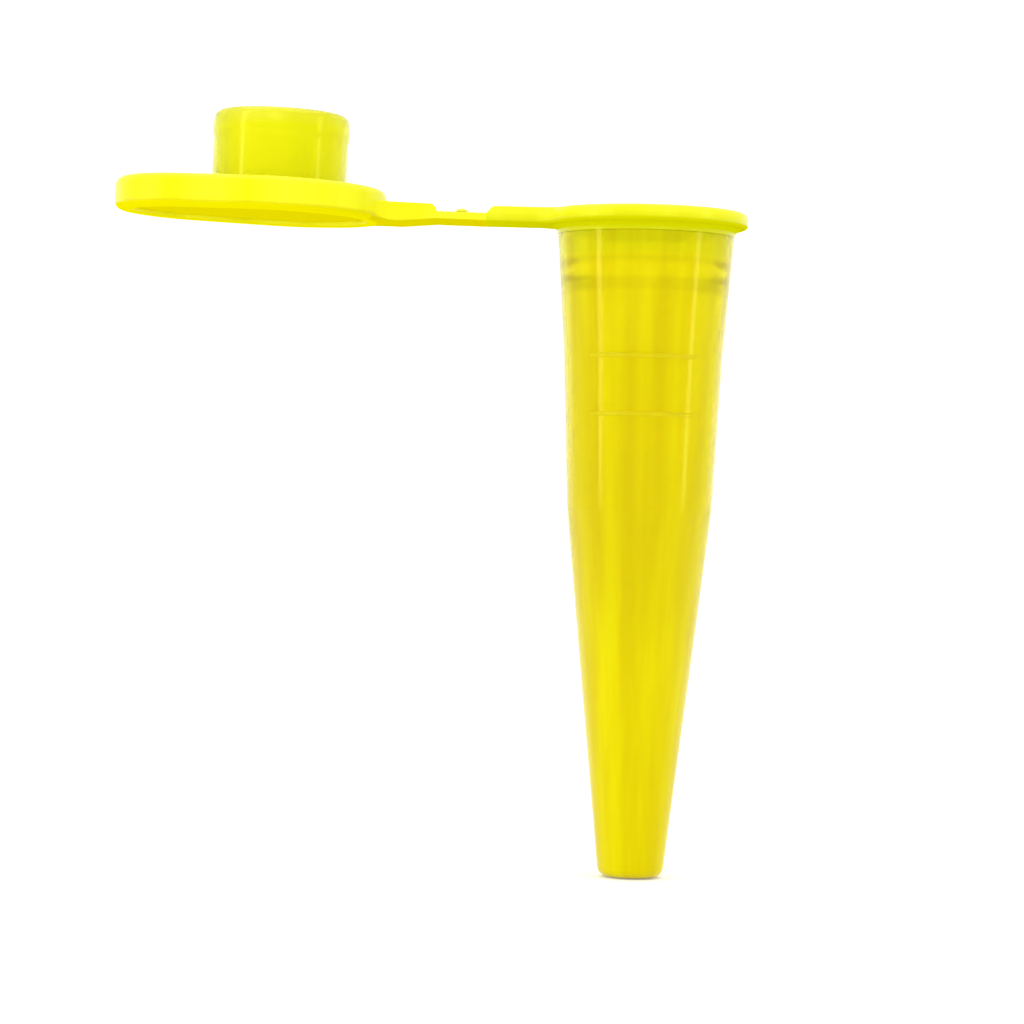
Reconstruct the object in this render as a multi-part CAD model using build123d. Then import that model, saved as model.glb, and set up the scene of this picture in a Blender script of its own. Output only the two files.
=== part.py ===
from build123d import *
import os

# A 0.5 mL microcentrifuge tube with its cap hinged open. Millimetres, Z up, mouth upward.
# The origin is on the tube axis in the plane of the flange underside, which rests on a rack.
# Depths count down from the flange top. The cap lies open toward -X: it is drawn flat, and its
# pieces are then lifted by the slight angle the film keeps at rest.

# flange and tube outside
FLANGE_T = 0.72
FLANGE_R = 4.6
FLANGE_TOP_ROUND = 0.32
FLANGE_LOW_ROUND = 0.12
NECK_FILLET = 0.36
NECK_R = 4.0
SHOULDER_DEPTH = 6.3
SHOULDER_R = 3.6
CONE_DEPTH = 13.4
CONE_R = 3.28
TUBE_LENGTH = 30.0
TIP_R = 1.45
TIP_ROUND = 0.45
TIP_DOME = 0.08

# tube inside
MOUTH_R = 3.56
LEAD_DEPTH = 2.25
LEAD_R = 3.36
RING_LOW_DEPTH = 3.25
RING_LOW_R = 3.26
RING_CREST_DEPTH = 2.72
RING_CREST_R = 3.135
RING_SEAT_R = 3.46
STEP_DEPTH = 3.7
STEP_R = 3.22
BORE_SHOULDER_R = 3.08
BORE_CONE_R = 2.72
TIP_DEPTH = 24.6
BORE_TIP_R = 1.24
BORE_END_DEPTH = 26.0

# volume marks moulded on the front of the wall
MARK_DEPTHS = (6.62, 9.2)
MARK_W = 0.2
MARK_H = 0.06
MARK_ARC = 90.0

# strap and living hinge
STRAP_W = 3.0
STRAP_T = FLANGE_T
CAP_STRAP_T = 0.9
STRAP_ROUND = 0.1
STRAP_GUSSET = 1.0
HINGE_X = -8.33
FILM_T = 0.34
FOLD_GAP = 0.6
FLOOR_HALF = 1.06
TUBE_SLOPE_HALF = 1.4
CAP_SLOPE_HALF = 1.28
REST_LIFT = 1.5
SEAT_GAP = 0.015
NUB_W = 0.45
NUB_H = 0.17

# cap, drawn lying open with its outer face down
CAP_R = 4.9
CAP_STEP = 0.57
CAP_TOP_ROUND = 0.42
CAP_LOW_ROUND = 0.38
RIM_H = 0.22
RIM_W = 0.85
TAB_START = 3.5
TAB_REACH = 7.34
TAB_R = 4.2
PLUG_H = 3.25
PLUG_R = 3.05
PLUG_WALL = 0.65
PLUG_FOOT = 0.2
BEAD_START = 1.95
BEAD_R = 3.1
BEAD_ROUND = 0.42

# derived places
TOP = FLANGE_T
CAP_X = 2 * HINGE_X
STRAP_LOW = TOP - STRAP_T
FILM_TOP = STRAP_LOW + FILM_T
FOLD_Z = STRAP_LOW + FILM_T / 2
FOLD_PITCH = FOLD_GAP + 2 * (TOP - FOLD_Z)
TUBE_FOLD_X = HINGE_X + FOLD_PITCH / 2
CAP_FOLD_X = HINGE_X - FOLD_PITCH / 2
CAP_LOW = TOP - CAP_STRAP_T
CAP_IN_Z = TOP + CAP_STEP
RECESS_Z = CAP_LOW + RIM_H


def at(depth):
    return TOP - depth


def save(name, solid):
    solid.label = name
    export_step(solid, "parts/" + name + ".step")


def rounded_face(points, rounds=()):
    face = make_face(Polyline(*points, close=True))
    for place, radius in rounds:
        corner = min(
            face.vertices(),
            key=lambda v: (v.X - place[0]) ** 2 + (v.Y - place[1]) ** 2,
        )
        face = fillet([corner], radius)
    return face


def turned(face, angle=360.0):
    return revolve(Plane.XZ * face, Axis.Z, angle)


def outer_r(depth):
    if depth < SHOULDER_DEPTH:
        share = (depth - FLANGE_T - NECK_FILLET) / (SHOULDER_DEPTH - FLANGE_T - NECK_FILLET)
        return NECK_R + share * (SHOULDER_R - NECK_R)
    if depth < CONE_DEPTH:
        share = (depth - SHOULDER_DEPTH) / (CONE_DEPTH - SHOULDER_DEPTH)
        return SHOULDER_R + share * (CONE_R - SHOULDER_R)
    share = (depth - CONE_DEPTH) / (TUBE_LENGTH - CONE_DEPTH)
    return CONE_R + share * (TIP_R - CONE_R)


def mouth_r(depth):
    return MOUTH_R + depth / LEAD_DEPTH * (LEAD_R - MOUTH_R)


def make_flange():
    """The rack flange round the mouth, with the fillet that runs into the wall."""
    low = -NECK_FILLET
    depth = TOP - low
    face = rounded_face(
        [
            (mouth_r(0), TOP),
            (FLANGE_R, TOP),
            (FLANGE_R, 0),
            (NECK_R, 0),
            (NECK_R, low),
            (mouth_r(depth), low),
        ],
        [
            ((FLANGE_R, TOP), FLANGE_TOP_ROUND),
            ((FLANGE_R, 0), FLANGE_LOW_ROUND),
            ((mouth_r(0), TOP), 0.06),
        ],
    )
    fillet_face = Rectangle(
        NECK_FILLET, NECK_FILLET, align=(Align.MIN, Align.MAX)
    ) - Pos(NECK_FILLET, -NECK_FILLET) * Circle(NECK_FILLET)
    return turned(face) + turned(Pos(NECK_R, 0) * fillet_face)


def make_body():
    """The upper wall: lead-in, seat for the seal ring, step and first taper."""
    top = FLANGE_T + NECK_FILLET
    return turned(
        rounded_face(
            [
                (mouth_r(top), at(top)),
                (NECK_R, at(top)),
                (SHOULDER_R, at(SHOULDER_DEPTH)),
                (CONE_R, at(CONE_DEPTH)),
                (BORE_CONE_R, at(CONE_DEPTH)),
                (BORE_SHOULDER_R, at(SHOULDER_DEPTH)),
                (STEP_R, at(STEP_DEPTH)),
                (RING_LOW_R, at(STEP_DEPTH)),
                (RING_LOW_R, at(RING_LOW_DEPTH)),
                (RING_SEAT_R, at(RING_LOW_DEPTH)),
                (RING_SEAT_R, at(LEAD_DEPTH)),
                (LEAD_R, at(LEAD_DEPTH)),
            ],
            [((SHOULDER_R, at(SHOULDER_DEPTH)), 6.0)],
        )
    )


def make_cone():
    """The steep lower taper down to the solid tip."""
    return turned(
        rounded_face(
            [
                (BORE_CONE_R, at(CONE_DEPTH)),
                (CONE_R, at(CONE_DEPTH)),
                (outer_r(TIP_DEPTH), at(TIP_DEPTH)),
                (BORE_TIP_R, at(TIP_DEPTH)),
            ]
        )
    )


def make_tip():
    """The thick closed end, with the round end of the bore in its top."""
    base = at(TUBE_LENGTH - TIP_DOME)
    side = outer_r(TUBE_LENGTH - TIP_DOME)
    face = rounded_face(
        [
            (0, at(TIP_DEPTH)),
            (outer_r(TIP_DEPTH), at(TIP_DEPTH)),
            (side, base),
            (0, at(TUBE_LENGTH)),
        ],
        [((side, base), TIP_ROUND)],
    )
    drop = BORE_END_DEPTH - TIP_DEPTH
    bore = make_face(
        [
            Line((0, at(BORE_END_DEPTH)), (0, at(TIP_DEPTH))),
            Line((0, at(TIP_DEPTH)), (BORE_TIP_R, at(TIP_DEPTH))),
            Spline(
                (BORE_TIP_R, at(TIP_DEPTH)),
                (BORE_TIP_R * 0.72, at(TIP_DEPTH + 0.74 * drop)),
                (0, at(BORE_END_DEPTH)),
                tangents=((-0.11, -1), (-1, 0)),
            ),
        ]
    )
    return turned(face - bore)


def make_seal_ring():
    """The rounded ring inside the mouth that the plug's bead closes against, seated in the wall."""
    profile = make_face(
        [
            Polyline(
                (RING_LOW_R, at(RING_LOW_DEPTH)),
                (RING_SEAT_R, at(RING_LOW_DEPTH)),
                (RING_SEAT_R, at(LEAD_DEPTH)),
                (LEAD_R, at(LEAD_DEPTH)),
            ),
            ThreePointArc(
                (LEAD_R, at(LEAD_DEPTH)),
                (RING_CREST_R, at(RING_CREST_DEPTH)),
                (RING_LOW_R, at(RING_LOW_DEPTH)),
            ),
        ]
    )
    return turned(profile)


def make_mark(depth):
    """One raised line across the front of the wall."""
    upper = depth - MARK_W / 2
    lower = depth + MARK_W / 2
    face = rounded_face(
        [
            (outer_r(upper), at(upper)),
            (outer_r(upper) + MARK_H * 0.7, at(upper + 0.05)),
            (outer_r(lower) + MARK_H, at(lower - 0.05)),
            (outer_r(lower), at(lower)),
        ]
    )
    return Rot(0, 0, -90 - MARK_ARC / 2) * turned(face, MARK_ARC)


def strap_blank(disc_x, disc_r, low):
    """The strap as a plank from the hinge middle into the disc, with gussets where they meet."""
    start = min(disc_x, HINGE_X)
    plank = Pos(start, 0) * Rectangle(
        abs(HINGE_X - disc_x), STRAP_W, align=(Align.MIN, Align.CENTER)
    )
    outline = plank + Pos(disc_x, 0) * Circle(disc_r)
    inner = [
        v
        for v in outline.vertices()
        if abs(abs(v.Y) - STRAP_W / 2) < 0.01 and abs(v.X - HINGE_X) > 1
    ]
    outline = fillet(inner, STRAP_GUSSET)
    touch_y = (STRAP_W / 2 + STRAP_GUSSET) * disc_r / (disc_r + STRAP_GUSSET)
    root = disc_x + (disc_r - 1) * (1 if disc_x < HINGE_X else -1)
    keep = Pos((HINGE_X + root) / 2, 0) * Rectangle(abs(HINGE_X - root), 2 * touch_y)
    blank = extrude(Pos(0, 0, low) * (outline & keep), TOP - low)
    sides = [e for e in blank.edges().filter_by(Axis.X) if abs(abs(e.center().Y) - STRAP_W / 2) < 0.01]
    return fillet(sides, STRAP_ROUND)


def hinge_window(side, slope_half):
    """What the recess over the film takes out of a strap; side is 1 for the tube's."""
    face = make_face(
        Polyline(
            (0, FILM_TOP),
            (side * FLOOR_HALF, FILM_TOP),
            (side * slope_half, TOP),
            (side * slope_half, TOP + 1),
            (0, TOP + 1),
            close=True,
        )
    )
    return Pos(HINGE_X, STRAP_W, 0) * extrude(Plane.XZ * face, 2 * STRAP_W)


def wide_box(x0, x1, z0, z1, y=20.0):
    return Pos((x0 + x1) / 2, 0, (z0 + z1) / 2) * Box(x1 - x0, 2 * y, z1 - z0)


def cross_rod(x, radius, length):
    return Pos(x, 0, FOLD_Z) * Rot(90, 0, 0) * Cylinder(radius, length)


def film_seat(x, side):
    """Clearance for the link's round end, and for its corner as it folds upward."""
    reach = FILM_T / 2 + SEAT_GAP
    corner = make_face(
        Polyline(
            (0, 0),
            (side * reach, 0),
            (side * reach, reach),
            (0, reach + 0.1),
            close=True,
        )
    )
    wedge = Pos(x, STRAP_W, FOLD_Z) * extrude(Plane.XZ * corner, 2 * STRAP_W)
    return cross_rod(x, reach, 2 * STRAP_W) + wedge


def split_film(blank, side, fold_x, floor_end):
    """Parts a strap blank into its thick strap and the thin film next to the fold."""
    far = floor_end + side * 30
    thick = blank & wide_box(min(floor_end, far), max(floor_end, far), -5, 5)
    film = blank & wide_box(min(fold_x, floor_end), max(fold_x, floor_end), STRAP_LOW, 5)
    return thick, film - film_seat(fold_x, side)


def make_tube_side(flange):
    blank = strap_blank(0, FLANGE_R, STRAP_LOW)
    blank = blank - hinge_window(1, TUBE_SLOPE_HALF)
    blank = blank - Cylinder(FLANGE_R - FLANGE_TOP_ROUND, 20) - flange
    return split_film(blank, 1, TUBE_FOLD_X, HINGE_X + FLOOR_HALF)


def make_cap_side(plate):
    blank = strap_blank(CAP_X, CAP_R, CAP_LOW)
    blank = blank - hinge_window(-1, CAP_SLOPE_HALF)
    blank = blank - Pos(CAP_X, 0, 0) * Cylinder(CAP_R - CAP_LOW_ROUND, 20) - plate
    return split_film(blank, -1, CAP_FOLD_X, HINGE_X - FLOOR_HALF)


def make_link():
    """The stiff middle of the hinge: a short slab with a round end on each fold line."""
    slab = Pos(HINGE_X, 0, FOLD_Z) * Box(FOLD_PITCH, STRAP_W, FILM_T)
    rods = cross_rod(TUBE_FOLD_X, FILM_T / 2, STRAP_W) + cross_rod(CAP_FOLD_X, FILM_T / 2, STRAP_W)
    return slab + rods


def make_nub():
    """The rib across the middle of the link, with its corners broken."""
    half = NUB_W / 2
    face = make_face(
        Polyline(
            (-half, 0),
            (half, 0),
            (half * 0.84, NUB_H * 0.6),
            (half * 0.42, NUB_H),
            (-half * 0.42, NUB_H),
            (-half * 0.84, NUB_H * 0.6),
            close=True,
        )
    )
    return Pos(HINGE_X, (STRAP_W - 2 * STRAP_ROUND) / 2, FILM_TOP) * extrude(
        Plane.XZ * face, STRAP_W - 2 * STRAP_ROUND
    )


def plate_outline():
    disc = Pos(CAP_X, 0) * Circle(CAP_R)
    lip = Pos(CAP_X - TAB_REACH + TAB_R, 0) * Circle(TAB_R)
    return make_hull(disc.edges() + lip.edges())


def make_plate():
    """The whole cap plate with its rounded rims, before it is parted into nodes."""
    solid = extrude(Pos(0, 0, CAP_LOW) * plate_outline(), CAP_IN_Z - CAP_LOW)
    solid = fillet(solid.faces().sort_by(Axis.Z)[-1].edges(), CAP_TOP_ROUND)
    return fillet(solid.faces().sort_by(Axis.Z)[0].edges(), CAP_LOW_ROUND)


def part_plate(plate):
    """Disc, thumb tab and the raised rim of the outer face."""
    upper = plate & wide_box(-40, 0, RECESS_Z, 5)
    lower = plate & wide_box(-40, 0, -5, RECESS_Z)
    well = offset(plate_outline(), -RIM_W)
    rim = lower - extrude(Pos(0, 0, -5) * well, 10)
    tab_x = CAP_X - TAB_START
    return upper & wide_box(tab_x, 0, -5, 5), upper & wide_box(-40, tab_x, -5, 5), rim


def make_plug():
    """The hollow plug, open at its free end, up to where the bead starts."""
    foot = PLUG_R + PLUG_FOOT
    face = rounded_face(
        [
            (PLUG_R - PLUG_WALL, 0),
            (foot, 0),
            (PLUG_R, PLUG_FOOT),
            (PLUG_R, BEAD_START),
            (PLUG_R - PLUG_WALL, BEAD_START),
        ]
    )
    face = face - Pos(foot, PLUG_FOOT) * Circle(PLUG_FOOT)
    return Pos(CAP_X, 0, CAP_IN_Z) * turned(face)


def make_bead():
    """The slightly wider sealing lip at the plug's free end."""
    face = rounded_face(
        [
            (PLUG_R - PLUG_WALL, BEAD_START),
            (PLUG_R, BEAD_START),
            (BEAD_R, BEAD_START + 0.3),
            (BEAD_R, PLUG_H - 0.65),
            (PLUG_R - 0.03, PLUG_H),
            (PLUG_R - PLUG_WALL + 0.1, PLUG_H),
            (PLUG_R - PLUG_WALL, PLUG_H - 0.25),
        ],
        [((PLUG_R - 0.03, PLUG_H), BEAD_ROUND)],
    )
    return Pos(CAP_X, 0, CAP_IN_Z) * turned(face)


def rest_turn(x):
    """Half of the cap's lift at rest, about one fold line."""
    back = Location((-x, 0, -FOLD_Z))
    return Location((x, 0, FOLD_Z)) * Location((0, 0, 0), (0, REST_LIFT / 2, 0)) * back


def build_tube():
    flange = make_flange()
    save("rim_flange", flange)
    save("tube_body", make_body())
    save("tube_cone", make_cone())
    save("tube_tip", make_tip())
    save("seal_ring", make_seal_ring())
    save("volume_mark_upper", make_mark(MARK_DEPTHS[0]))
    save("volume_mark_lower", make_mark(MARK_DEPTHS[1]))
    strap, film = make_tube_side(flange)
    save("tube_strap", strap)
    save("tube_film", film)


def build_link(lift):
    save("hinge_link", lift * make_link())
    save("hinge_nub", lift * make_nub())


def build_cap(lift):
    plate = make_plate()
    disc, tab, rim = part_plate(plate)
    save("cap_disc", lift * disc)
    save("thumb_tab", lift * tab)
    save("cap_rim", lift * rim)
    strap, film = make_cap_side(plate)
    save("cap_strap", lift * strap)
    save("cap_film", lift * film)
    save("sealing_plug", lift * make_plug())
    save("plug_bead", lift * make_bead())


os.makedirs("parts", exist_ok=True)
build_tube()
build_link(rest_turn(TUBE_FOLD_X))
build_cap(rest_turn(TUBE_FOLD_X) * rest_turn(CAP_FOLD_X))
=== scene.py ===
import math

import bmesh
import bpy
from mathutils import Matrix, Vector


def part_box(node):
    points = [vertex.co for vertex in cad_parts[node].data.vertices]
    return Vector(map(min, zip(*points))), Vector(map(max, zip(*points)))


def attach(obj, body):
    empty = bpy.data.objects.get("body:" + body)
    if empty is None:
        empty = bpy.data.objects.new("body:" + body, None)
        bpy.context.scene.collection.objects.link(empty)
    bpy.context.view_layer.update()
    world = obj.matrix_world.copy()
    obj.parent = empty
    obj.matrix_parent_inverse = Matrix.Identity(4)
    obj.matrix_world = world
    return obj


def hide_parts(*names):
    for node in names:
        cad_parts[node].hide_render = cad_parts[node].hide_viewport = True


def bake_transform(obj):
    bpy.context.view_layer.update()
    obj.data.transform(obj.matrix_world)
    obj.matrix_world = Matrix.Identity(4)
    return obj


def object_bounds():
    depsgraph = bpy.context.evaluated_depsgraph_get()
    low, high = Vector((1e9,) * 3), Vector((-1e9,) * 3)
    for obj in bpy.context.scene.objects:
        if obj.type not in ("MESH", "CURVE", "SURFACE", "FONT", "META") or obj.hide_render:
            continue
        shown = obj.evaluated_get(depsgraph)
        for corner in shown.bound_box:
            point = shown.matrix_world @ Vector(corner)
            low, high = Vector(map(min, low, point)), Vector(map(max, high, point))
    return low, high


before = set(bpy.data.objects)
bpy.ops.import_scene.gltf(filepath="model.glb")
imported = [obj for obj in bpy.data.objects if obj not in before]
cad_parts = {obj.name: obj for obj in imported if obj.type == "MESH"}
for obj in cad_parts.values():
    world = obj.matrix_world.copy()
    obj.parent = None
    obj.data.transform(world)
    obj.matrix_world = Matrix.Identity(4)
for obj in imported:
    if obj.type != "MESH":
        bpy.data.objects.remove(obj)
cad_low, cad_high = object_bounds()

# The looks of an open microcentrifuge tube. Sizes here are in millimetres, as in the CAD part,
# and each mesh is scaled to metres when it is made. Depths count down from the flange top. The
# film, the nub, the ends of the straps and the flange's lower round differ a little from the
# CAD part's, inside its box.
MM = 0.001
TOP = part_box("rim_flange")[1].z / MM
HINGE_X = (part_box("hinge_nub")[0].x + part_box("hinge_nub")[1].x) / 2 / MM

# flange and tube outside
FLANGE_T = 0.72
FLANGE_R = 4.6
FLANGE_TOP_ROUND = 0.32
FLANGE_LOW_ROUND = 0.23
NECK_FILLET = 0.36
NECK_R = 4.0
SHOULDER_DEPTH = 6.3
SHOULDER_R = 3.6
SHOULDER_ROUND = 6.0
CONE_DEPTH = 13.4
CONE_R = 3.28
TUBE_LENGTH = 30.0
TIP_R = 1.45
TIP_ROUND = 0.45
TIP_DOME = 0.08
TIP_POLE_R = 0.05

# tube inside
MOUTH_R = 3.56
MOUTH_ROUND = 0.08
LEAD_DEPTH = 2.25
LEAD_R = 3.36
RING_LOW_DEPTH = 3.25
RING_LOW_R = 3.26
RING_CREST_R = 3.135
RING_BULGE = 0.05
STEP_DEPTH = 3.7
STEP_R = 3.22
STEP_ROUND = 0.15
STEP_RISE = 0.04
STEP_EDGE_ROUND = 0.02
BORE_SHOULDER_R = 3.08
BORE_SHOULDER_ROUND = 4.0
BORE_CONE_R = 2.72
TIP_DEPTH = 24.6
BORE_TIP_R = 1.24
BORE_END_DEPTH = 26.0

# volume marks on the front of the wall
MARK_DEPTHS = {"volume_mark_upper": 6.62, "volume_mark_lower": 9.2}
MARK_W = 0.2
MARK_H = 0.06
MARK_ARC = math.radians(90)
MARK_SINK = 0.1
MARK_FADE = 6

# strap and hinge; distances with HALF count from the middle of the link
STRAP_HALF = 1.5
STRAP_LOW = TOP - FLANGE_T
STRAP_ROUND = 0.1
STRAP_GUSSET = 1.0
GUSSET_GAP = 0.01
FILM_T = 0.34
FILM_SWELL = 0.06
FILM_TOP = STRAP_LOW + FILM_T + FILM_SWELL
FOLD_Z = STRAP_LOW + FILM_T / 2
FOLD_HALF = 0.85
FLOOR_HALF = 1.1
SLOPE_ROUND = 0.25
CAP_RAMP = 1.6
TUBE_SLOPE_HALF = 1.4
CAP_SLOPE_HALF = 1.28
BEND_HALF = 0.21
REST_LIFT = math.radians(1.5)
NUB_W = 0.58
NUB_H = 0.19
NUB_SINK = 0.01

# cap
CAP_X = 2 * HINGE_X
CAP_R = 4.9
CAP_LOW = TOP - 0.9
CAP_IN_Z = TOP + 0.57
CAP_TOP_ROUND = 0.42
CAP_LOW_ROUND = 0.38
RIM_H = 0.22
RIM_W = 0.85
RIM_ROUND = 0.1
RECESS_Z = CAP_LOW + RIM_H
TAB_START = 3.5
TAB_REACH = 7.34
TAB_R = 4.2
PLUG_H = 3.25
PLUG_R = 3.05
PLUG_BORE = 2.4
PLUG_FOOT = 0.2
PLUG_LIP_ROUND = 0.12
PLUG_LIP_SLOPE = 0.25
PLUG_END_INSET = 0.03
BEAD_START = 1.95
BEAD_RISE = 0.3
BEAD_R = 3.1
BEAD_TOP_GAP = 0.65
BEAD_ROUND = 0.42
BEAD_BLEND = 0.8
SEAM = 0.001

# mesh fineness
ROOT_STEPS = 24
TURN_STEPS = 112
ROUND_STEPS = 7
LONGEST_STEP = 0.8
STRAP_STEP = 0.25
FILM_STEPS = 14
LINK_STEPS = 6
PLATE_RINGS = 8
NO_AREA = 1e-9
CUT_SLACK = 1e-5

# shades: depth below the flange top to (red, green, blue) factors, then down-facing colours; apart
# from the wall's own tone these are painted light and shade
# the wall: a little less red near the mouth, painted light and dark bands at the seal ring, and a
# deeper tone towards the thick tip
WALL_TONE_AND_PAINTED_BANDS = {
    0.0: (0.92, 0.97, 1),
    2.05: (0.92, 0.97, 1),
    2.15: (1, 1, 1),
    2.28: (0.88, 0.9, 1),
    2.42: (0.96, 0.96, 1),
    2.62: (1, 1, 1),
    3.05: (1, 1, 1),
    3.22: (0.89, 0.89, 1),
    3.6: (0.89, 0.89, 1),
    3.78: (1, 1, 1),
    4.2: (0.97, 0.97, 1),
    10.0: (0.98, 0.97, 1),
    16.0: (0.95, 0.91, 1),
    24.0: (0.83, 0.79, 1),
    30.0: (0.83, 0.79, 1),
}
# the flange and strap: painted shade, darker from the middle of the flange's edge down and along
# the strap's lower side
RIM_PAINTED_SHADE = {
    -0.2: (1, 1, 1),
    0.25: (1, 1, 1),
    0.5: (0.88, 0.9, 0.5),
    0.75: (0.76, 0.79, 0.3),
    1.08: (0.78, 0.8, 0.3),
    4.0: (0.8, 0.82, 0.5),
}
# the plug: a painted sheen, whiter at its lip
PLUG_PAINTED_SHEEN = {-3.9: (1, 1, 1), -3.6: (1, 1, 0.8), -3.2: (1, 1, 0.1), -1.0: (1, 1, 0.1)}
# painted shade colours for sides that look down: the cap and hinge, the flange and strap, then the
# cap's rim
PAINTED_UNDER_SHADE = (0.64, 0.56, 0.0)
RIM_PAINTED_UNDER_SHADE = (0.58, 0.58, 0.0)
EDGE_PAINTED_UNDER_SHADE = (0.73, 0.67, 0.0)
MATT_SLOPE = -0.5
CLOUD_START = 9.0
CLOUD_END = 24.5
LOW_CLEAR = 0.12

# the plastic: the deep and the light shade of each dye, then what all of them share
RIM_DYE = ((0.78, 0.76, 0.01), (0.85, 0.84, 0.03))
CAP_DYE = ((0.8, 0.77, 0.005), (0.87, 0.85, 0.02))
HINGE_DYE = ((0.82, 0.79, 0.01), (0.88, 0.86, 0.03))
TUBE_DYE = ((0.88, 0.75, 0.0), (1.0, 0.93, 0.0))
MARK_DYE = ((0.94, 0.85, 0.0), (0.99, 0.92, 0.01))
PLUG_DYE = ((0.9, 0.89, 0.03), (0.96, 0.95, 0.06))
DYE_BREAKS = (0.36, 0.64)
FLOW = (500, 500, 30)
TUBE_FLOW = (900, 900, 12)
GRAIN_SCALE = 420.0
GRAIN_DETAIL = 3.0
RIPPLE = 0.06
RIPPLE_HEIGHT = 0.00004
PLASTIC_IOR = 1.49
SHEEN = (1.0, 0.95, 0.15, 1)
# the downward slope at which the painted shade is full
PAINTED_SHADE_FULL = -0.6

# the studio, in metres
ROOM_LIGHT = 0.78
STAGE_HALF = 0.4
CARD_Y = 0.3
CARD_TOP = 0.08
LIGHT_AIM = (-0.006, 0, -0.012)
SOFTBOXES = {
    "left_box": ((-0.22, -0.1, 0.02), (0.03, 0.3), 5.0),
    "right_box": ((0.22, -0.08, 0.02), (0.03, 0.3), 3.6),
    "top_box": ((-0.01, 0.0, 0.25), (0.3, 0.3), 1.45),
    "front_box": ((-0.06, -0.3, 0.14), (0.14, 0.14), 2.2),
}
CAMERA_PLACE = (-0.005733, -0.150257, -0.012951)
CAMERA_ROLL = math.radians(1.462)
CAMERA_LENS = 117.05
CAMERA_SENSOR = 36
PAPER_ROUGH = 0.9
PAPER_GLOSS = 0.1


def at(depth):
    return TOP - depth


def outer_r(depth):
    if depth < SHOULDER_DEPTH:
        start = FLANGE_T + NECK_FILLET
        return NECK_R + (depth - start) / (SHOULDER_DEPTH - start) * (SHOULDER_R - NECK_R)
    if depth < CONE_DEPTH:
        share = (depth - SHOULDER_DEPTH) / (CONE_DEPTH - SHOULDER_DEPTH)
        return SHOULDER_R + share * (CONE_R - SHOULDER_R)
    share = (depth - CONE_DEPTH) / (TUBE_LENGTH - CONE_DEPTH)
    return CONE_R + share * (TIP_R - CONE_R)


def mouth_r(depth):
    return MOUTH_R + depth / LEAD_DEPTH * (LEAD_R - MOUTH_R)


# ---- paths and skins -------------------------------------------------------------------------

def rounded(corners):
    """A path through corners (x, z, radius), rounded by arcs. Gives (x, z, normal x, normal z);
    the normal is on the left of the way the path runs."""
    spots = [Vector(c[:2]) for c in corners]
    path = []
    for i, spot in enumerate(spots):
        radius = corners[i][2] if 0 < i < len(spots) - 1 else 0
        ahead = (spots[i + 1] - spot).normalized() if i < len(spots) - 1 else None
        behind = (spot - spots[i - 1]).normalized() if i else None
        if not radius:
            run = ahead or behind
            path.append((spot.x, spot.y, -run.y, run.x))
            continue
        turn = behind.angle_signed(ahead)
        reach = radius * math.tan(abs(turn) / 2)
        start = spot - behind * reach
        side = -1 if turn > 0 else 1
        left = Vector((-behind.y, behind.x))
        centre = start + left * radius * side
        for k in range(ROUND_STEPS + 1):
            normal = left.copy()
            normal.rotate(Matrix.Rotation(-turn * k / ROUND_STEPS, 2))
            place = centre - normal * radius * side
            path.append((place.x, place.y, normal.x, normal.y))
    return path


def divided(path, longest=LONGEST_STEP):
    """The path with extra points on its long straight runs."""
    result = [path[0]]
    for a, b in zip(path, path[1:]):
        gap = math.hypot(b[0] - a[0], b[1] - a[1])
        parts = max(1, math.ceil(gap / longest))
        for k in range(1, parts + 1):
            result.append(tuple(p + (q - p) * k / parts for p, q in zip(a, b)))
    return result


class Skin:
    """Vertices with their own normals, and the faces between them."""

    def __init__(self):
        self.points = []
        self.normals = []
        self.faces = []

    def row(self, spots):
        first = len(self.points)
        for point, normal in spots:
            self.points.append(Vector(point))
            self.normals.append(Vector(normal).normalized())
        return range(first, len(self.points))

    def face(self, corners):
        points = [self.points[c] for c in corners]
        across = (points[1] - points[0]).cross(points[-1] - points[0])
        if len(points) == 4:
            across = (points[2] - points[0]).cross(points[3] - points[1])
        if across.length < NO_AREA:
            return
        facing = sum((self.normals[c] for c in corners), Vector())
        self.faces.append(corners if across.dot(facing) > 0 else corners[::-1])

    def grid(self, rows, wrap=True, skip=None):
        """Quads between neighbouring rows of spots; skip(i, j) leaves one out."""
        rows = [self.row(r) for r in rows]
        for i in range(len(rows) - 1):
            count = len(rows[i])
            for j in range(count if wrap else count - 1):
                if skip and skip(i, j):
                    continue
                k = (j + 1) % count
                self.face([rows[i][j], rows[i][k], rows[i + 1][k], rows[i + 1][j]])
        return rows

    def close(self, row, centre, normal):
        """A fan from the last row of a round surface to its middle."""
        middle = self.row([(centre, normal)])[0]
        for j in range(len(row)):
            self.face([row[j], row[(j + 1) % len(row)], middle])


def swept_rows(outline, path):
    """One row for each point of the path, all round the outline of (base, normal) pairs."""
    return [
        [
            ((base.x + n.x * x, base.y + n.y * x, z), (n.x * nx, n.y * nx, nz))
            for base, n in outline
        ]
        for x, z, nx, nz in path
    ]


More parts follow.
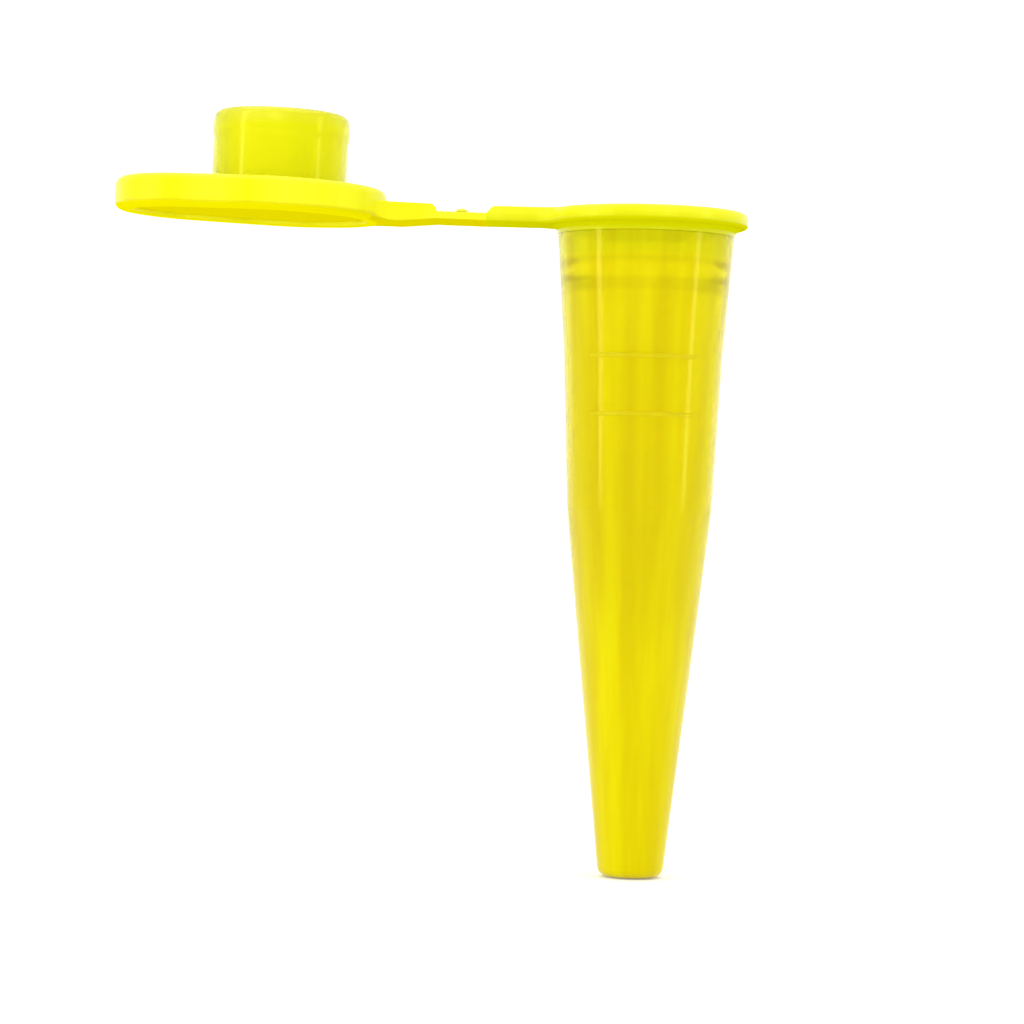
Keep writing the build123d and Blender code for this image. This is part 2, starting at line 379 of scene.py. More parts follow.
def make_piece(name, skin, turn=None, keep=()):
    """A mesh object from a skin, cut to the kept side of each (point, direction) plane."""
    bm = bmesh.new()
    layer = bm.verts.layers.float_vector.new("own_normal")
    for point, normal in zip(skin.points, skin.normals):
        bm.verts.new(point)[layer] = normal
    bm.verts.ensure_lookup_table()
    for corners in skin.faces:
        bm.faces.new([bm.verts[c] for c in corners]).smooth = True
    for point, direction in keep:
        everything = bm.verts[:] + bm.edges[:] + bm.faces[:]
        bmesh.ops.bisect_plane(
            bm, geom=everything, dist=CUT_SLACK,
            plane_co=point, plane_no=direction, clear_inner=True,
        )
    loose = [v for v in bm.verts if not v.link_faces]
    bmesh.ops.delete(bm, geom=loose, context="VERTS")
    layer = bm.verts.layers.float_vector["own_normal"]
    normals = [v[layer].copy() for v in bm.verts]
    mesh = bpy.data.meshes.new(name)
    bm.to_mesh(mesh)
    bm.free()
    mesh.attributes.remove(mesh.attributes["own_normal"])
    turn = turn or Matrix.Identity(4)
    mesh.transform(Matrix.Scale(MM, 4) @ turn)
    spin = turn.to_3x3()
    mesh.normals_split_custom_set_from_vertices([(spin @ n).normalized() for n in normals])
    piece = bpy.data.objects.new(name + "_skin", mesh)
    bpy.context.scene.collection.objects.link(piece)
    return piece


def finish_piece(piece, node, body, material):
    """Materials, the CAD node it stands for and its body. Faces that look down take
    the matt version of the material, if there is one."""
    piece.data.materials.append(material)
    matt = bpy.data.materials.get(material.name + "_matt")
    if matt:
        piece.data.materials.append(matt)
        for polygon in piece.data.polygons:
            polygon.material_index = int(polygon.normal.z < MATT_SLOPE)
    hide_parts(node)
    if body:
        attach(piece, body)


# ---- outlines --------------------------------------------------------------------------------

def way(angle):
    return Vector((math.cos(angle), math.sin(angle)))


def round_outline(x, root_angle=0.0):
    """A circle about (x, 0), with even steps over the root of a strap on its -X side."""
    angles = [math.pi + root_angle * (2 * k / ROOT_STEPS - 1) for k in range(ROOT_STEPS)]
    rest = 2 * math.pi - 2 * root_angle
    angles += [math.pi + root_angle + rest * k / TURN_STEPS for k in range(TURN_STEPS)]
    return [(Vector((x, 0)), way(a)) for a in angles]


def root_half_angle(disc_r):
    return math.asin((STRAP_HALF + STRAP_GUSSET) / (disc_r + STRAP_GUSSET))


def plate_outline():
    """The hull of the cap disc and the lip circle, starting at the strap root."""
    disc = Vector((CAP_X, 0))
    lip = Vector((CAP_X - TAB_REACH + TAB_R, 0))
    tangent = math.acos(-(CAP_R - TAB_R) / (disc.x - lip.x))
    root = root_half_angle(CAP_R)
    outline = [(disc, root * (2 * k / ROOT_STEPS - 1), CAP_R) for k in range(ROOT_STEPS)]
    arc = 32
    outline += [(disc, root + (tangent - root) * k / arc, CAP_R) for k in range(arc + 1)]
    run = 6
    outline += [
        (disc.lerp(lip, k / run), tangent, CAP_R + (TAB_R - CAP_R) * k / run) for k in range(1, run)
    ]
    lip_turn = 2 * math.pi - 2 * tangent
    turns = 48
    outline += [(lip, tangent + lip_turn * k / turns, TAB_R) for k in range(turns + 1)]
    outline += [
        (lip.lerp(disc, k / run), -tangent, TAB_R + (CAP_R - TAB_R) * k / run)
        for k in range(1, run)
    ]
    outline += [(disc, -tangent + (tangent - root) * k / arc, CAP_R) for k in range(arc)]
    return [(centre + way(a) * r, way(a)) for centre, a, r in outline]


# ---- the tube --------------------------------------------------------------------------------

TUBE_ROOT = root_half_angle(FLANGE_R)
TUBE_ROUND = round_outline(0, TUBE_ROOT)


def flange_skin():
    """The flange with the start of both walls; the path ends a hair below its last arc."""
    low = FLANGE_T + NECK_FILLET
    path = rounded(
        [
            (mouth_r(low), at(low), 0),
            (mouth_r(0), TOP, MOUTH_ROUND),
            (FLANGE_R, TOP, FLANGE_TOP_ROUND),
            (FLANGE_R, STRAP_LOW, FLANGE_LOW_ROUND),
            (NECK_R, STRAP_LOW, NECK_FILLET),
            (NECK_R, at(low) - SEAM / 10, 0),
        ]
    )
    first = ROUND_STEPS + 2
    last = first + 2 * ROUND_STEPS + 1
    skin = Skin()
    skin.grid(
        swept_rows(TUBE_ROUND, path),
        skip=lambda i, j: j < ROOT_STEPS and first <= i < last,
    )
    return skin


def body_skin():
    low = FLANGE_T + NECK_FILLET
    outside = rounded(
        [
            (NECK_R, at(low), 0),
            (SHOULDER_R, at(SHOULDER_DEPTH), SHOULDER_ROUND),
            (CONE_R, at(CONE_DEPTH), 0),
        ]
    )
    inside = rounded(
        [
            (BORE_CONE_R, at(CONE_DEPTH), 0),
            (BORE_SHOULDER_R, at(SHOULDER_DEPTH), BORE_SHOULDER_ROUND),
            (STEP_R, at(STEP_DEPTH), STEP_ROUND),
            (RING_LOW_R, at(STEP_DEPTH) + STEP_RISE, STEP_EDGE_ROUND),
            (RING_LOW_R, at(RING_LOW_DEPTH), 0),
        ]
    )
    lead = rounded([(LEAD_R, at(LEAD_DEPTH), 0), (mouth_r(low), at(low), 0)])
    skin = Skin()
    for path in (outside, inside, lead):
        skin.grid(swept_rows(TUBE_ROUND, divided(path)))
    return skin


def ring_skin():
    """The rounded bead inside the mouth, one arc from the lead-in down to the bore."""
    top = Vector((LEAD_R, at(LEAD_DEPTH)))
    low = Vector((RING_LOW_R, at(RING_LOW_DEPTH)))
    crest = min(top.x, low.x) - RING_CREST_R
    steps = 20
    path = []
    for k in range(steps + 1):
        share = k / steps
        swell = math.sin(math.pi * share)
        slope = math.pi * math.cos(math.pi * share) * crest
        place = low.lerp(top, share) - Vector((swell * (crest + RING_BULGE), 0))
        tangent = (top - low) - Vector((slope, 0))
        path.append((place.x, place.y, -tangent.y, tangent.x))
    skin = Skin()
    skin.grid(swept_rows(TUBE_ROUND, path))
    return skin


def cone_skin():
    skin = Skin()
    outside = rounded([(CONE_R, at(CONE_DEPTH), 0), (outer_r(TIP_DEPTH), at(TIP_DEPTH), 0)])
    inside = rounded([(BORE_TIP_R, at(TIP_DEPTH), 0), (BORE_CONE_R, at(CONE_DEPTH), 0)])
    for path in (outside, inside):
        skin.grid(swept_rows(TUBE_ROUND, divided(path)))
    return skin


def tip_skin():
    base = TUBE_LENGTH - TIP_DOME
    outside = rounded(
        [
            (outer_r(TIP_DEPTH), at(TIP_DEPTH), 0),
            (outer_r(base), at(base), TIP_ROUND),
            (TIP_POLE_R, at(TUBE_LENGTH), 0),
        ]
    )
    skin = Skin()
    rows = skin.grid(swept_rows(TUBE_ROUND, divided(outside)))
    skin.close(rows[-1], (0, 0, at(TUBE_LENGTH)), (0, 0, -1))
    drop = BORE_END_DEPTH - TIP_DEPTH
    bore = []
    steps = 16
    for k in range(steps):
        angle = math.pi / 2 * k / steps
        bore.append(
            (
                BORE_TIP_R * math.cos(angle),
                at(TIP_DEPTH + drop * math.sin(angle)),
                -math.cos(angle) * drop,
                math.sin(angle) * BORE_TIP_R,
            )
        )
    rows = skin.grid(swept_rows(TUBE_ROUND, bore))
    skin.close(rows[-1], (0, 0, at(BORE_END_DEPTH)), (0, 0, 1))
    return skin


def mark_skin(depth):
    """A low rounded line on the front of the wall that fades out at both ends."""
    across = 8
    along = 60
    rows = []
    for i in range(across + 1):
        drop = depth + MARK_W * (i / across - 0.5)
        swell = math.sin(math.pi * i / across)
        lean = -math.cos(math.pi * i / across)
        row = []
        for j in range(along + 1):
            share = j / along
            angle = -math.pi / 2 + MARK_ARC * (share - 0.5)
            fade = min(1.0, MARK_FADE * min(share, 1 - share))
            r = outer_r(drop) + MARK_H * (swell * fade - MARK_SINK)
            n = way(angle)
            tilt = -lean * fade * MARK_H * math.pi / MARK_W
            row.append(((n.x * r, n.y * r, at(drop)), (n.x, n.y, tilt)))
        rows.append(row)
    skin = Skin()
    skin.grid(rows, wrap=False)
    return skin


# ---- strap and hinge -------------------------------------------------------------------------

def edge_profile(top_z, low_z, top_round, low_round):
    """The rounded side of the strap from top to bottom, as (inset, z, normal out, normal up)."""
    quarter = 5
    profile = []
    for k in range(quarter + 1):
        out = math.cos(math.pi / 2 * (1 - k / quarter))
        up = math.sin(math.pi / 2 * (1 - k / quarter))
        profile.append((top_round * (1 - out), top_z - top_round * (1 - up), out, up))
    for k in range(quarter + 1):
        out = math.cos(math.pi / 2 * k / quarter)
        down = math.sin(math.pi / 2 * k / quarter)
        profile.append((low_round * (1 - out), low_z + low_round * (1 - down), out, -down))
    return profile


def band_ring(side, edge, edge_way, top_z, low_z, top_way, top_round, low_round, bow, root):
    """One ring round the strap. edge and edge_way are the plan of its +Y side; bow(v, part) is
    how far the middle of its top or low part runs ahead of its sides, v from -1 to 1."""
    right = []
    for inset, z, out, up in edge_profile(top_z, low_z, top_round, low_round):
        place = edge - edge_way * inset
        lean = Vector((edge_way.x * out, edge_way.y * out, 0))
        lean += Vector(top_way) * up if up > 0 else Vector((0, 0, up))
        right.append((Vector((place.x, place.y, z)), lean))

    def line(end, z, normal, part):
        spots = []
        for k in range(1, ROOT_STEPS):
            v = math.sin(root * (2 * k / ROOT_STEPS - 1)) / math.sin(root)
            spots.append((Vector((end.x + bow(v, part), end.y * v, z)), normal))
        return spots

    top_end = right[0][0]
    low_end = right[-1][0]
    left = [(Vector((p.x, -p.y, p.z)), Vector((n.x, -n.y, n.z))) for p, n in right]
    ring = line(top_end, top_z, Vector(top_way), "top") + right
    ring += line(low_end, low_z, Vector((0, 0, -1)), "low")[::-1] + left[::-1]
    return [
        ((HINGE_X + side * p.x, p.y, p.z), (side * n.x, n.y, n.z)) for p, n in ring
    ]


def straight_ring(side, u, top_z, low_z, top_way=(0, 0, 1), root=TUBE_ROOT):
    return band_ring(
        side, Vector((u, STRAP_HALF)), Vector((0, 1)), top_z, low_z, top_way,
        STRAP_ROUND, STRAP_ROUND, lambda v, part: 0, root,
    )


def strap_skin(side, disc_r, slope_half, low_end, root_radii, end_rounds):
    """The thick strap from the hinge floor to its root, spreading through two gussets."""
    disc_u = abs(CAP_X - HINGE_X)
    reach = disc_r + STRAP_GUSSET
    gusset = Vector((0, STRAP_HALF + STRAP_GUSSET))
    gusset.x = disc_u - math.sqrt(reach**2 - gusset.y**2)
    last = math.atan2(disc_u - gusset.x, gusset.y)
    root = root_half_angle(disc_r)
    corners = [
        (FLOOR_HALF, FILM_TOP, 0),
        (slope_half, TOP, SLOPE_ROUND),
        (gusset.x - GUSSET_GAP, TOP, 0),
    ]
    top_path = divided(rounded(corners), STRAP_STEP)

    def low_z(u):
        share = min(1.0, max(0.0, (u - FLOOR_HALF) / CAP_RAMP))
        return STRAP_LOW + (low_end - STRAP_LOW) * share

    rows = [straight_ring(side, u, z, low_z(u), (nu, 0, nz), root) for u, z, nu, nz in top_path]
    steps = 16
    for k in range(steps + 1):
        t = k / steps
        phi = last * t
        n = Vector((-math.sin(phi), math.cos(phi)))
        edge = gusset - n * STRAP_GUSSET
        ease = t * t
        top_round = STRAP_ROUND + ease * (end_rounds[0] - STRAP_ROUND)
        low_round = STRAP_ROUND + ease * (end_rounds[1] - STRAP_ROUND)

        def bow(v, part, t=t):
            r = root_radii[0] if part == "top" else root_radii[1]
            y = r * math.sin(root)
            return t * (math.sqrt(r**2 - y**2) - math.sqrt(r**2 - (v * y) ** 2))

        rows.append(
            band_ring(
                side, edge, n, TOP, low_end, (0, 0, 1),
                top_round, low_round, bow, root,
            )
        )
    skin = Skin()
    skin.grid(rows)
    return skin


def film_skin(side, u_start, u_end, steps, root=TUBE_ROOT):
    """A stretch of the thin film, in even steps so that it can bend."""
    places = [u_start + (u_end - u_start) * k / steps for k in range(steps + 1)]
    skin = Skin()
    skin.grid([straight_ring(side, u, FILM_TOP, STRAP_LOW, root=root) for u in places])
    return skin


def nub_skin():
    """The small rib across the link, a rounded ridge with rounded ends."""
    across = 14
    half_along = 16
    half_y = STRAP_HALF - STRAP_ROUND
    rows = []
    for i in range(2 * half_along + 1):
        y = half_y * math.sin(math.pi / 2 * (i / half_along - 1))
        fullness = max(0.02, 1 - (abs(y) / half_y) ** 8) ** 0.5
        lean = 0.3 * (y / half_y) ** 9
        row = []
        for j in range(across + 1):
            angle = math.pi * j / across
            x = math.cos(angle) * NUB_W / 2 * (0.7 + 0.3 * fullness)
            z = FILM_TOP - NUB_SINK + (NUB_H + NUB_SINK) * math.sin(angle) ** 0.7 * fullness
            row.append(((HINGE_X + x, y, z), (math.cos(angle), lean, math.sin(angle))))
        rows.append(row)
    skin = Skin()
    skin.grid(rows, wrap=False)
    return skin


# ---- the cap ---------------------------------------------------------------------------------

PLATE = plate_outline()
CAP_ROUND = round_outline(CAP_X)


def about(x):
    """The lift of half the rest angle about one fold line."""
    place = Matrix.Translation((x, 0, FOLD_Z))
    return place @ Matrix.Rotation(REST_LIFT / 2, 4, "Y") @ place.inverted()


LINK_TURN = about(HINGE_X + FOLD_HALF)
CAP_TURN = LINK_TURN @ about(HINGE_X - FOLD_HALF)


def inward_rows(ring, middle, z, normal):
    """Flat rows of spots from a ring in towards its middle, without the middle itself."""
    rows = []
    for k in range(PLATE_RINGS):
        places = [spot.lerp(middle, k / PLATE_RINGS) for spot in ring]
        rows.append([((place.x, place.y, z), normal) for place in places])
    return rows


def plate_skin():
    """The whole plate, open where the strap joins it."""
    edge = rounded(
        [
            (-RIM_W, RECESS_Z, 0),
            (-RIM_W, CAP_LOW, RIM_ROUND),
            (0, CAP_LOW, CAP_LOW_ROUND),
            (0, TOP, 0),
            (0, CAP_IN_Z, CAP_TOP_ROUND),
            (-CAP_TOP_ROUND - SEAM, CAP_IN_Z, 0),
        ]
    )
    edge = [(x, z, -nx, -nz) for x, z, nx, nz in edge]
    first = 2 + ROUND_STEPS
    last = first + ROUND_STEPS + 1
    skin = Skin()
    skin.grid(
        swept_rows(PLATE, edge), skip=lambda i, j: first <= i < last and j < ROOT_STEPS
    )
    disc = Vector((CAP_X, 0))
    for inset, z, facing in ((CAP_TOP_ROUND, CAP_IN_Z, 1), (RIM_W, RECESS_Z, -1)):
        ring = [base - n * inset for base, n in PLATE]
        rows = skin.grid(inward_rows(ring, disc, z, (0, 0, facing)))
        skin.close(rows[-1], (CAP_X, 0, z), (0, 0, facing))
    return skin


def plug_path():
    """Up the plug's bore, over its lip and bead, and down the outside to the foot."""
    end = CAP_IN_Z + PLUG_H
    bead = CAP_IN_Z + BEAD_START
    return rounded(
        [
            (PLUG_BORE, CAP_IN_Z, 0),
            (PLUG_BORE, end - PLUG_LIP_SLOPE, PLUG_LIP_ROUND),
            (PLUG_BORE + PLUG_LIP_ROUND, end, PLUG_LIP_ROUND),
            (PLUG_R - PLUG_END_INSET, end, BEAD_ROUND),
            (BEAD_R, end - BEAD_TOP_GAP, BEAD_BLEND),
            (BEAD_R, bead + BEAD_RISE, BEAD_BLEND),
            (PLUG_R, bead, BEAD_BLEND),
            (PLUG_R, CAP_IN_Z, PLUG_FOOT - SEAM),
            (PLUG_R + PLUG_FOOT, CAP_IN_Z, 0),
        ]
    )


def plug_skin():
    skin = Skin()
    skin.grid(swept_rows(CAP_ROUND, divided(plug_path())))
    return skin


# ---- materials -------------------------------------------------------------------------------

def node(tree, kind, **values):
    made = tree.nodes.new(kind)
    for key, value in values.items():
        if hasattr(made, key):
            setattr(made, key, value)
        else:
            made.inputs[key].default_value = value
    return made


def height_of(tree, place):
    """The height of the shaded point, as a socket."""
    split = node(tree, "ShaderNodeSeparateXYZ")
    tree.links.new(place.outputs["Object"], split.inputs["Vector"])
    return split.outputs["Z"]


def blended(tree, kind, share, first, second):
    """Two colours mixed as kind says; share, first and second are sockets or values."""
    mix = tree.nodes.new("ShaderNodeMix")
    mix.data_type = "RGBA"
    mix.blend_type = kind
    for name, given in (("Factor", share), ("A", first), ("B", second)):
        if isinstance(given, bpy.types.NodeSocket):
            tree.links.new(given, mix.inputs[name])
        else:
            mix.inputs[name].default_value = given
    return mix.outputs["Result"]


def tone_and_painted_light_by_height(tree, place, tone_and_painted_light):
    """A colour factor that changes with height: the wall's own tone as its thickness changes, and
    painted light and shade in bands at the seal ring, on the lower flange and strap and at the
    plug's lip. The table maps a depth below the flange top to a (red, green, blue) factor."""
    depths = sorted(tone_and_painted_light, reverse=True)
    share = node(tree, "ShaderNodeMapRange")
    share.inputs["From Min"].default_value = at(depths[0]) * MM
    share.inputs["From Max"].default_value = at(depths[-1]) * MM
    tree.links.new(height_of(tree, place), share.inputs["Value"])
    ramp = node(tree, "ShaderNodeValToRGB")
    stops = ramp.color_ramp.elements
    for _ in depths[2:]:
        stops.new(0.5)
    span = depths[0] - depths[-1]
    for k, depth in enumerate(depths):
        stops[k].position = (depths[0] - depth) / span
    for k, depth in enumerate(depths):
        stops[k].color = (*tone_and_painted_light[depth], 1)
    tree.links.new(share.outputs["Result"], ramp.inputs["Fac"])
    return ramp.outputs["Color"]


def clouded(tree, place, clear, low_clear):
    """Less light straight through towards the tip, where the wall is thick for its width."""
    share = node(tree, "ShaderNodeMapRange", interpolation_type="SMOOTHSTEP")
    share.inputs["From Min"].default_value = at(CLOUD_START) * MM
    share.inputs["From Max"].default_value = at(CLOUD_END) * MM
    share.inputs["To Min"].default_value = clear
    share.inputs["To Max"].default_value = low_clear
    tree.links.new(height_of(tree, place), share.inputs["Value"])
    return share.outputs["Result"]


def mix_painted_under_shade(tree, place, colour, painted_shade):
    """Mixes a painted shade into the colour where the surface looks down, in full where it faces
    well down.
    """
    split = node(tree, "ShaderNodeSeparateXYZ")
    tree.links.new(place.outputs["Normal"], split.inputs["Vector"])
    share = node(tree, "ShaderNodeMapRange", interpolation_type="SMOOTHSTEP")
    share.inputs["From Min"].default_value = 0.0
    share.inputs["From Max"].default_value = PAINTED_SHADE_FULL
    tree.links.new(split.outputs["Z"], share.inputs["Value"])
    return blended(tree, "MIX", share.outputs["Result"], colour, (*painted_shade, 1))


def flow_lines(tree, place, shades, flow):
    """Two shades of the dye in lines drawn out along the way the melt flowed."""
    stretch = node(tree, "ShaderNodeMapping", Scale=flow)
    cloud = node(tree, "ShaderNodeTexNoise", Detail=GRAIN_DETAIL)
    cloud.inputs["Scale"].default_value = 1.0
    tree.links.new(place.outputs["Object"], stretch.inputs["Vector"])
    tree.links.new(stretch.outputs["Vector"], cloud.inputs["Vector"])
    ramp = node(tree, "ShaderNodeValToRGB")
    for k, stop in enumerate(ramp.color_ramp.elements):
        stop.position = DYE_BREAKS[k]
        stop.color = (*shades[k], 1)
    tree.links.new(cloud.outputs["Fac"], ramp.inputs["Fac"])
    return ramp.outputs["Color"]


def worn_gloss(tree, place, shader, rough):
    """Uneven roughness between two values, and slight ripples of the same pattern."""
    fine = node(tree, "ShaderNodeTexNoise", Scale=GRAIN_SCALE, Detail=GRAIN_DETAIL)
    tree.links.new(place.outputs["Object"], fine.inputs["Vector"])
    spread = node(tree, "ShaderNodeMapRange")
    spread.inputs["To Min"].default_value = rough[0]
    spread.inputs["To Max"].default_value = rough[1]
    tree.links.new(fine.outputs["Fac"], spread.inputs["Value"])
    tree.links.new(spread.outputs["Result"], shader.inputs["Roughness"])
    bump = node(tree, "ShaderNodeBump", Strength=RIPPLE, Distance=RIPPLE_HEIGHT)
    tree.links.new(fine.outputs["Fac"], bump.inputs["Height"])
    tree.links.new(bump.outputs["Normal"], shader.inputs["Normal"])


def plastic(
    name, shades, clear, rough, gloss, flow=FLOW, tone_and_painted_light=None, painted_shade=None, low_clear=None
):
    """Dyed polypropylene, with any painted light and shade from the height table and painted shade
    on sides that look down. clear is the share of light let through, low_clear that share at the
    tip, and the painted shade is the colour painted on sides that look down."""
    made = bpy.data.materials.new(name)
    made.use_nodes = True
    tree = made.node_tree
    shader = tree.nodes["Principled BSDF"]
    place = node(tree, "ShaderNodeTexCoord")
    colour = flow_lines(tree, place, shades, flow)
    if tone_and_painted_light:
        colour = blended(tree, "MULTIPLY", 1.0, colour, tone_and_painted_light_by_height(tree, place, tone_and_painted_light))
    if painted_shade:
        colour = mix_painted_under_shade(tree, place, colour, painted_shade)
    tree.links.new(colour, shader.inputs["Base Color"])
    worn_gloss(tree, place, shader, rough)
    shader.inputs["IOR"].default_value = PLASTIC_IOR
    shader.inputs["Specular IOR Level"].default_value = gloss
    shader.inputs["Specular Tint"].default_value = SHEEN
    shader.inputs["Transmission Weight"].default_value = clear
    if low_clear is not None:
        tree.links.new(clouded(tree, place, clear, low_clear), shader.inputs["Transmission Weight"])
    return made


def dye(part):
    return bpy.data.materials[part + "_yellow"]


def pale(name, shade, glow):
    """Plain matt paper with a little light of its own."""
    made = bpy.data.materials.new(name)
    made.use_nodes = True
    shader = made.node_tree.nodes["Principled BSDF"]
    shader.inputs["Base Color"].default_value = (shade, shade, shade, 1)
    shader.inputs["Roughness"].default_value = PAPER_ROUGH
    shader.inputs["Specular IOR Level"].default_value = PAPER_GLOSS
    shader.inputs["Emission Color"].default_value = (1, 1, 1, 1)
    shader.inputs["Emission Strength"].default_value = glow
    return made


# ---- building --------------------------------------------------------------------------------

def build_tube(wall, rim, marks, hinge):
    skins = {
        "rim_flange": flange_skin(),
        "tube_body": body_skin(),
        "tube_cone": cone_skin(),
        "tube_tip": tip_skin(),
        "seal_ring": ring_skin(),
        "tube_strap": strap_skin(
            1, FLANGE_R, TUBE_SLOPE_HALF, STRAP_LOW,
            (FLANGE_R - FLANGE_TOP_ROUND, FLANGE_R - FLANGE_LOW_ROUND),
            (FLANGE_TOP_ROUND, FLANGE_LOW_ROUND),
        ),
    }
    for name, skin in skins.items():
        material = rim if name in ("rim_flange", "tube_strap") else wall
        finish_piece(make_piece(name, skin), name, "tube", material)
    for name, depth in MARK_DEPTHS.items():
        finish_piece(make_piece(name, mark_skin(depth)), name, "tube", marks)
    film = film_skin(1, FLOOR_HALF, FOLD_HALF - BEND_HALF, FILM_STEPS)
    film = make_piece("tube_film", film)
    finish_piece(film, "tube_film", None, hinge)
    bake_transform(film)


def build_link(hinge):
    middle = FOLD_HALF - BEND_HALF
    link = make_piece("hinge_link", film_skin(1, middle, -middle, LINK_STEPS), LINK_TURN)
    finish_piece(link, "hinge_link", "link", hinge)
    nub = make_piece("hinge_nub", nub_skin(), LINK_TURN)
    finish_piece(nub, "hinge_nub", "link", hinge)


def build_cap(cover, edge, plug, hinge):
    split = Vector((CAP_X - TAB_START, 0, 0))
    above = (Vector((0, 0, RECESS_Z - SEAM)), (0, 0, 1))
    below = (Vector((0, 0, RECESS_Z - SEAM)), (0, 0, -1))
    plate = plate_skin()
    disc = make_piece("cap_disc", plate, CAP_TURN, [(split, (1, 0, 0)), above])
    finish_piece(disc, "cap_disc", "cap", cover)
    tab = make_piece("thumb_tab", plate, CAP_TURN, [(split, (-1, 0, 0)), above])
    finish_piece(tab, "thumb_tab", "cap", cover)
    rim = make_piece("cap_rim", plate, CAP_TURN, [below])
    finish_piece(rim, "cap_rim", "cap", edge)
    root = root_half_angle(CAP_R)
    strap = strap_skin(
        -1, CAP_R, CAP_SLOPE_HALF, CAP_LOW,
        (CAP_R, CAP_R - CAP_LOW_ROUND), (SEAM, CAP_LOW_ROUND),
    )
    strap = make_piece("cap_strap", strap, CAP_TURN)
    finish_piece(strap, "cap_strap", "cap", cover)
    bead_at = Vector((0, 0, CAP_IN_Z + BEAD_START))
    whole = plug_skin()
    lower = make_piece("sealing_plug", whole, CAP_TURN, [(bead_at, (0, 0, -1))])
    finish_piece(lower, "sealing_plug", "cap", plug)
    bead = make_piece("plug_bead", whole, CAP_TURN, [(bead_at, (0, 0, 1))])
    finish_piece(bead, "plug_bead", "cap", plug)
    film = film_skin(-1, FLOOR_HALF, FOLD_HALF - BEND_HALF, FILM_STEPS, root)
    film = make_piece("cap_film", film, CAP_TURN)
    finish_piece(film, "cap_film", None, hinge)
    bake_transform(film)


def sheet_of(name, start, end, material):
    """A stage surface: a line from (y, z) to (y, z), drawn out to both sides in X."""
    points = [(-STAGE_HALF, *start), (STAGE_HALF, *start), (-STAGE_HALF, *end), (STAGE_HALF, *end)]
    mesh = bpy.data.meshes.new(name)
    mesh.from_pydata(points, [], [(0, 1, 3, 2)])
    mesh.materials.append(material)
    sheet = bpy.data.objects.new(name, mesh)
    bpy.context.scene.collection.objects.link(sheet)


def build_stage(floor_z):
    """A pale floor, and a bright card behind the tube that its clear walls show."""
    paper = pale("pale_floor", 0.9, 0.15)
    sheet_of("floor", (-STAGE_HALF, floor_z), (STAGE_HALF, floor_z), paper)
    card = pale("bright_card", 0.8, 0.5)
    sheet_of("bright_card", (CARD_Y, floor_z), (CARD_Y, CARD_TOP), card)


def softbox(name, place, size, radiance):
    light = bpy.data.lights.new(name, "AREA")
    light.shape = "RECTANGLE"
    light.size, light.size_y = size
    light.energy = radiance * math.pi * size[0] * size[1]
    lamp = bpy.data.objects.new(name, light)
    bpy.context.scene.collection.objects.link(lamp)
    lamp.location = place
    way_to_part = Vector(LIGHT_AIM) - Vector(place)
    lamp.rotation_euler = way_to_part.to_track_quat("-Z", "Y").to_euler()


def build_lights():
    """A white room that lights the part a little less than it shows, and four softboxes."""
    world = bpy.data.worlds.new("studio")
    bpy.context.scene.world = world
    world.use_nodes = True
    tree = world.node_tree
    room = tree.nodes["Background"]
    room.inputs["Color"].default_value = (1, 1, 1, 1)
    seen = node(tree, "ShaderNodeLightPath")
    level = node(tree, "ShaderNodeMapRange")
    level.inputs["To Min"].default_value = ROOM_LIGHT
    level.inputs["To Max"].default_value = 1.0
    tree.links.new(seen.outputs["Is Camera Ray"], level.inputs["Value"])
    tree.links.new(level.outputs["Result"], room.inputs["Strength"])
    for name, (place, size, radiance) in SOFTBOXES.items():
        softbox(name, place, size, radiance)


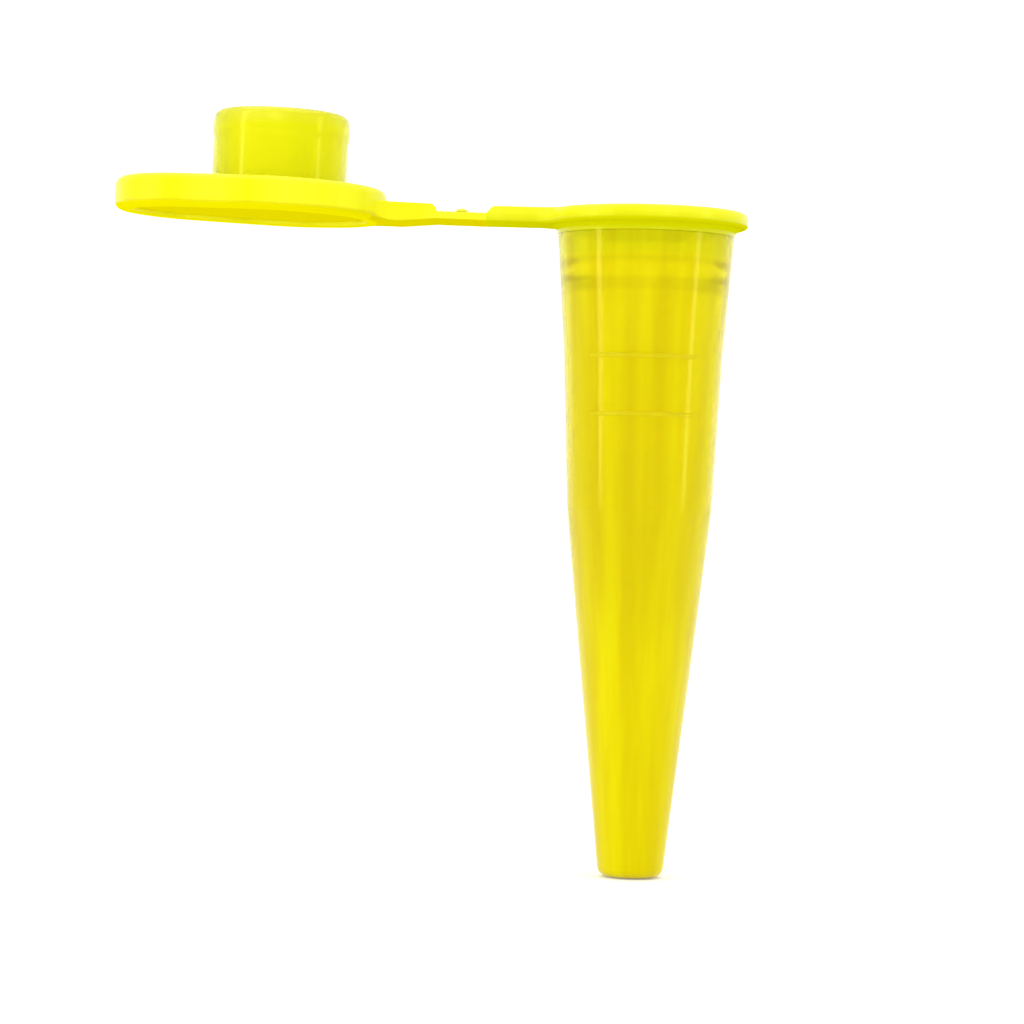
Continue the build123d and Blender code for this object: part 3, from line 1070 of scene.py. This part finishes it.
def build_camera():
    """Level view a little below the flange, with the slight roll of the hand-set camera."""
    lens = bpy.data.cameras.new("camera")
    lens.lens = CAMERA_LENS
    lens.sensor_width = CAMERA_SENSOR
    lens.clip_start = 0.01
    lens.clip_end = 5
    camera = bpy.data.objects.new("camera", lens)
    bpy.context.scene.collection.objects.link(camera)
    level = Matrix.Rotation(math.radians(90), 4, "X")
    roll = Matrix.Rotation(CAMERA_ROLL, 4, "Z")
    camera.matrix_world = Matrix.Translation(CAMERA_PLACE) @ level @ roll
    bpy.context.scene.camera = camera


# The white room has to stay white and the dye bright, so no tone curve is wanted.
bpy.context.scene.view_settings.view_transform = "Standard"
# the thick parts take a painted shade on sides that look down, and the flange and strap also a
# painted shade on their lower half
for ending, gloss in (("", 0.25), ("_matt", 0.0)):
    plastic(
        "rim_yellow" + ending, RIM_DYE, clear=0.0, rough=(0.2, 0.3), gloss=gloss,
        tone_and_painted_light=RIM_PAINTED_SHADE, painted_shade=RIM_PAINTED_UNDER_SHADE,
    )
    for name, shades, painted_shade in (
        ("cap_yellow", CAP_DYE, PAINTED_UNDER_SHADE),
        ("edge_yellow", CAP_DYE, EDGE_PAINTED_UNDER_SHADE),
        ("hinge_yellow", HINGE_DYE, PAINTED_UNDER_SHADE),
    ):
        plastic(name + ending, shades, clear=0.0, rough=(0.25, 0.35), gloss=gloss, painted_shade=painted_shade)
# the wall, with painted light and dark bands at the seal ring from its height table
plastic(
    "tube_yellow", TUBE_DYE, clear=0.66, rough=(0.08, 0.12), gloss=0.2,
    flow=TUBE_FLOW, tone_and_painted_light=WALL_TONE_AND_PAINTED_BANDS, low_clear=LOW_CLEAR,
)
plastic("mark_yellow", MARK_DYE, clear=0.64, rough=(0.2, 0.3), gloss=0.3)
# the plug, with a painted sheen at its lip from its height table
plastic("plug_yellow", PLUG_DYE, clear=0.5, rough=(0.1, 0.14), gloss=0.25, tone_and_painted_light=PLUG_PAINTED_SHEEN)
build_tube(dye("tube"), dye("rim"), dye("mark"), dye("hinge"))
build_link(dye("hinge"))
build_cap(dye("cap"), dye("edge"), dye("plug"), dye("hinge"))
build_stage(cad_low.z)
build_lights()
build_camera()
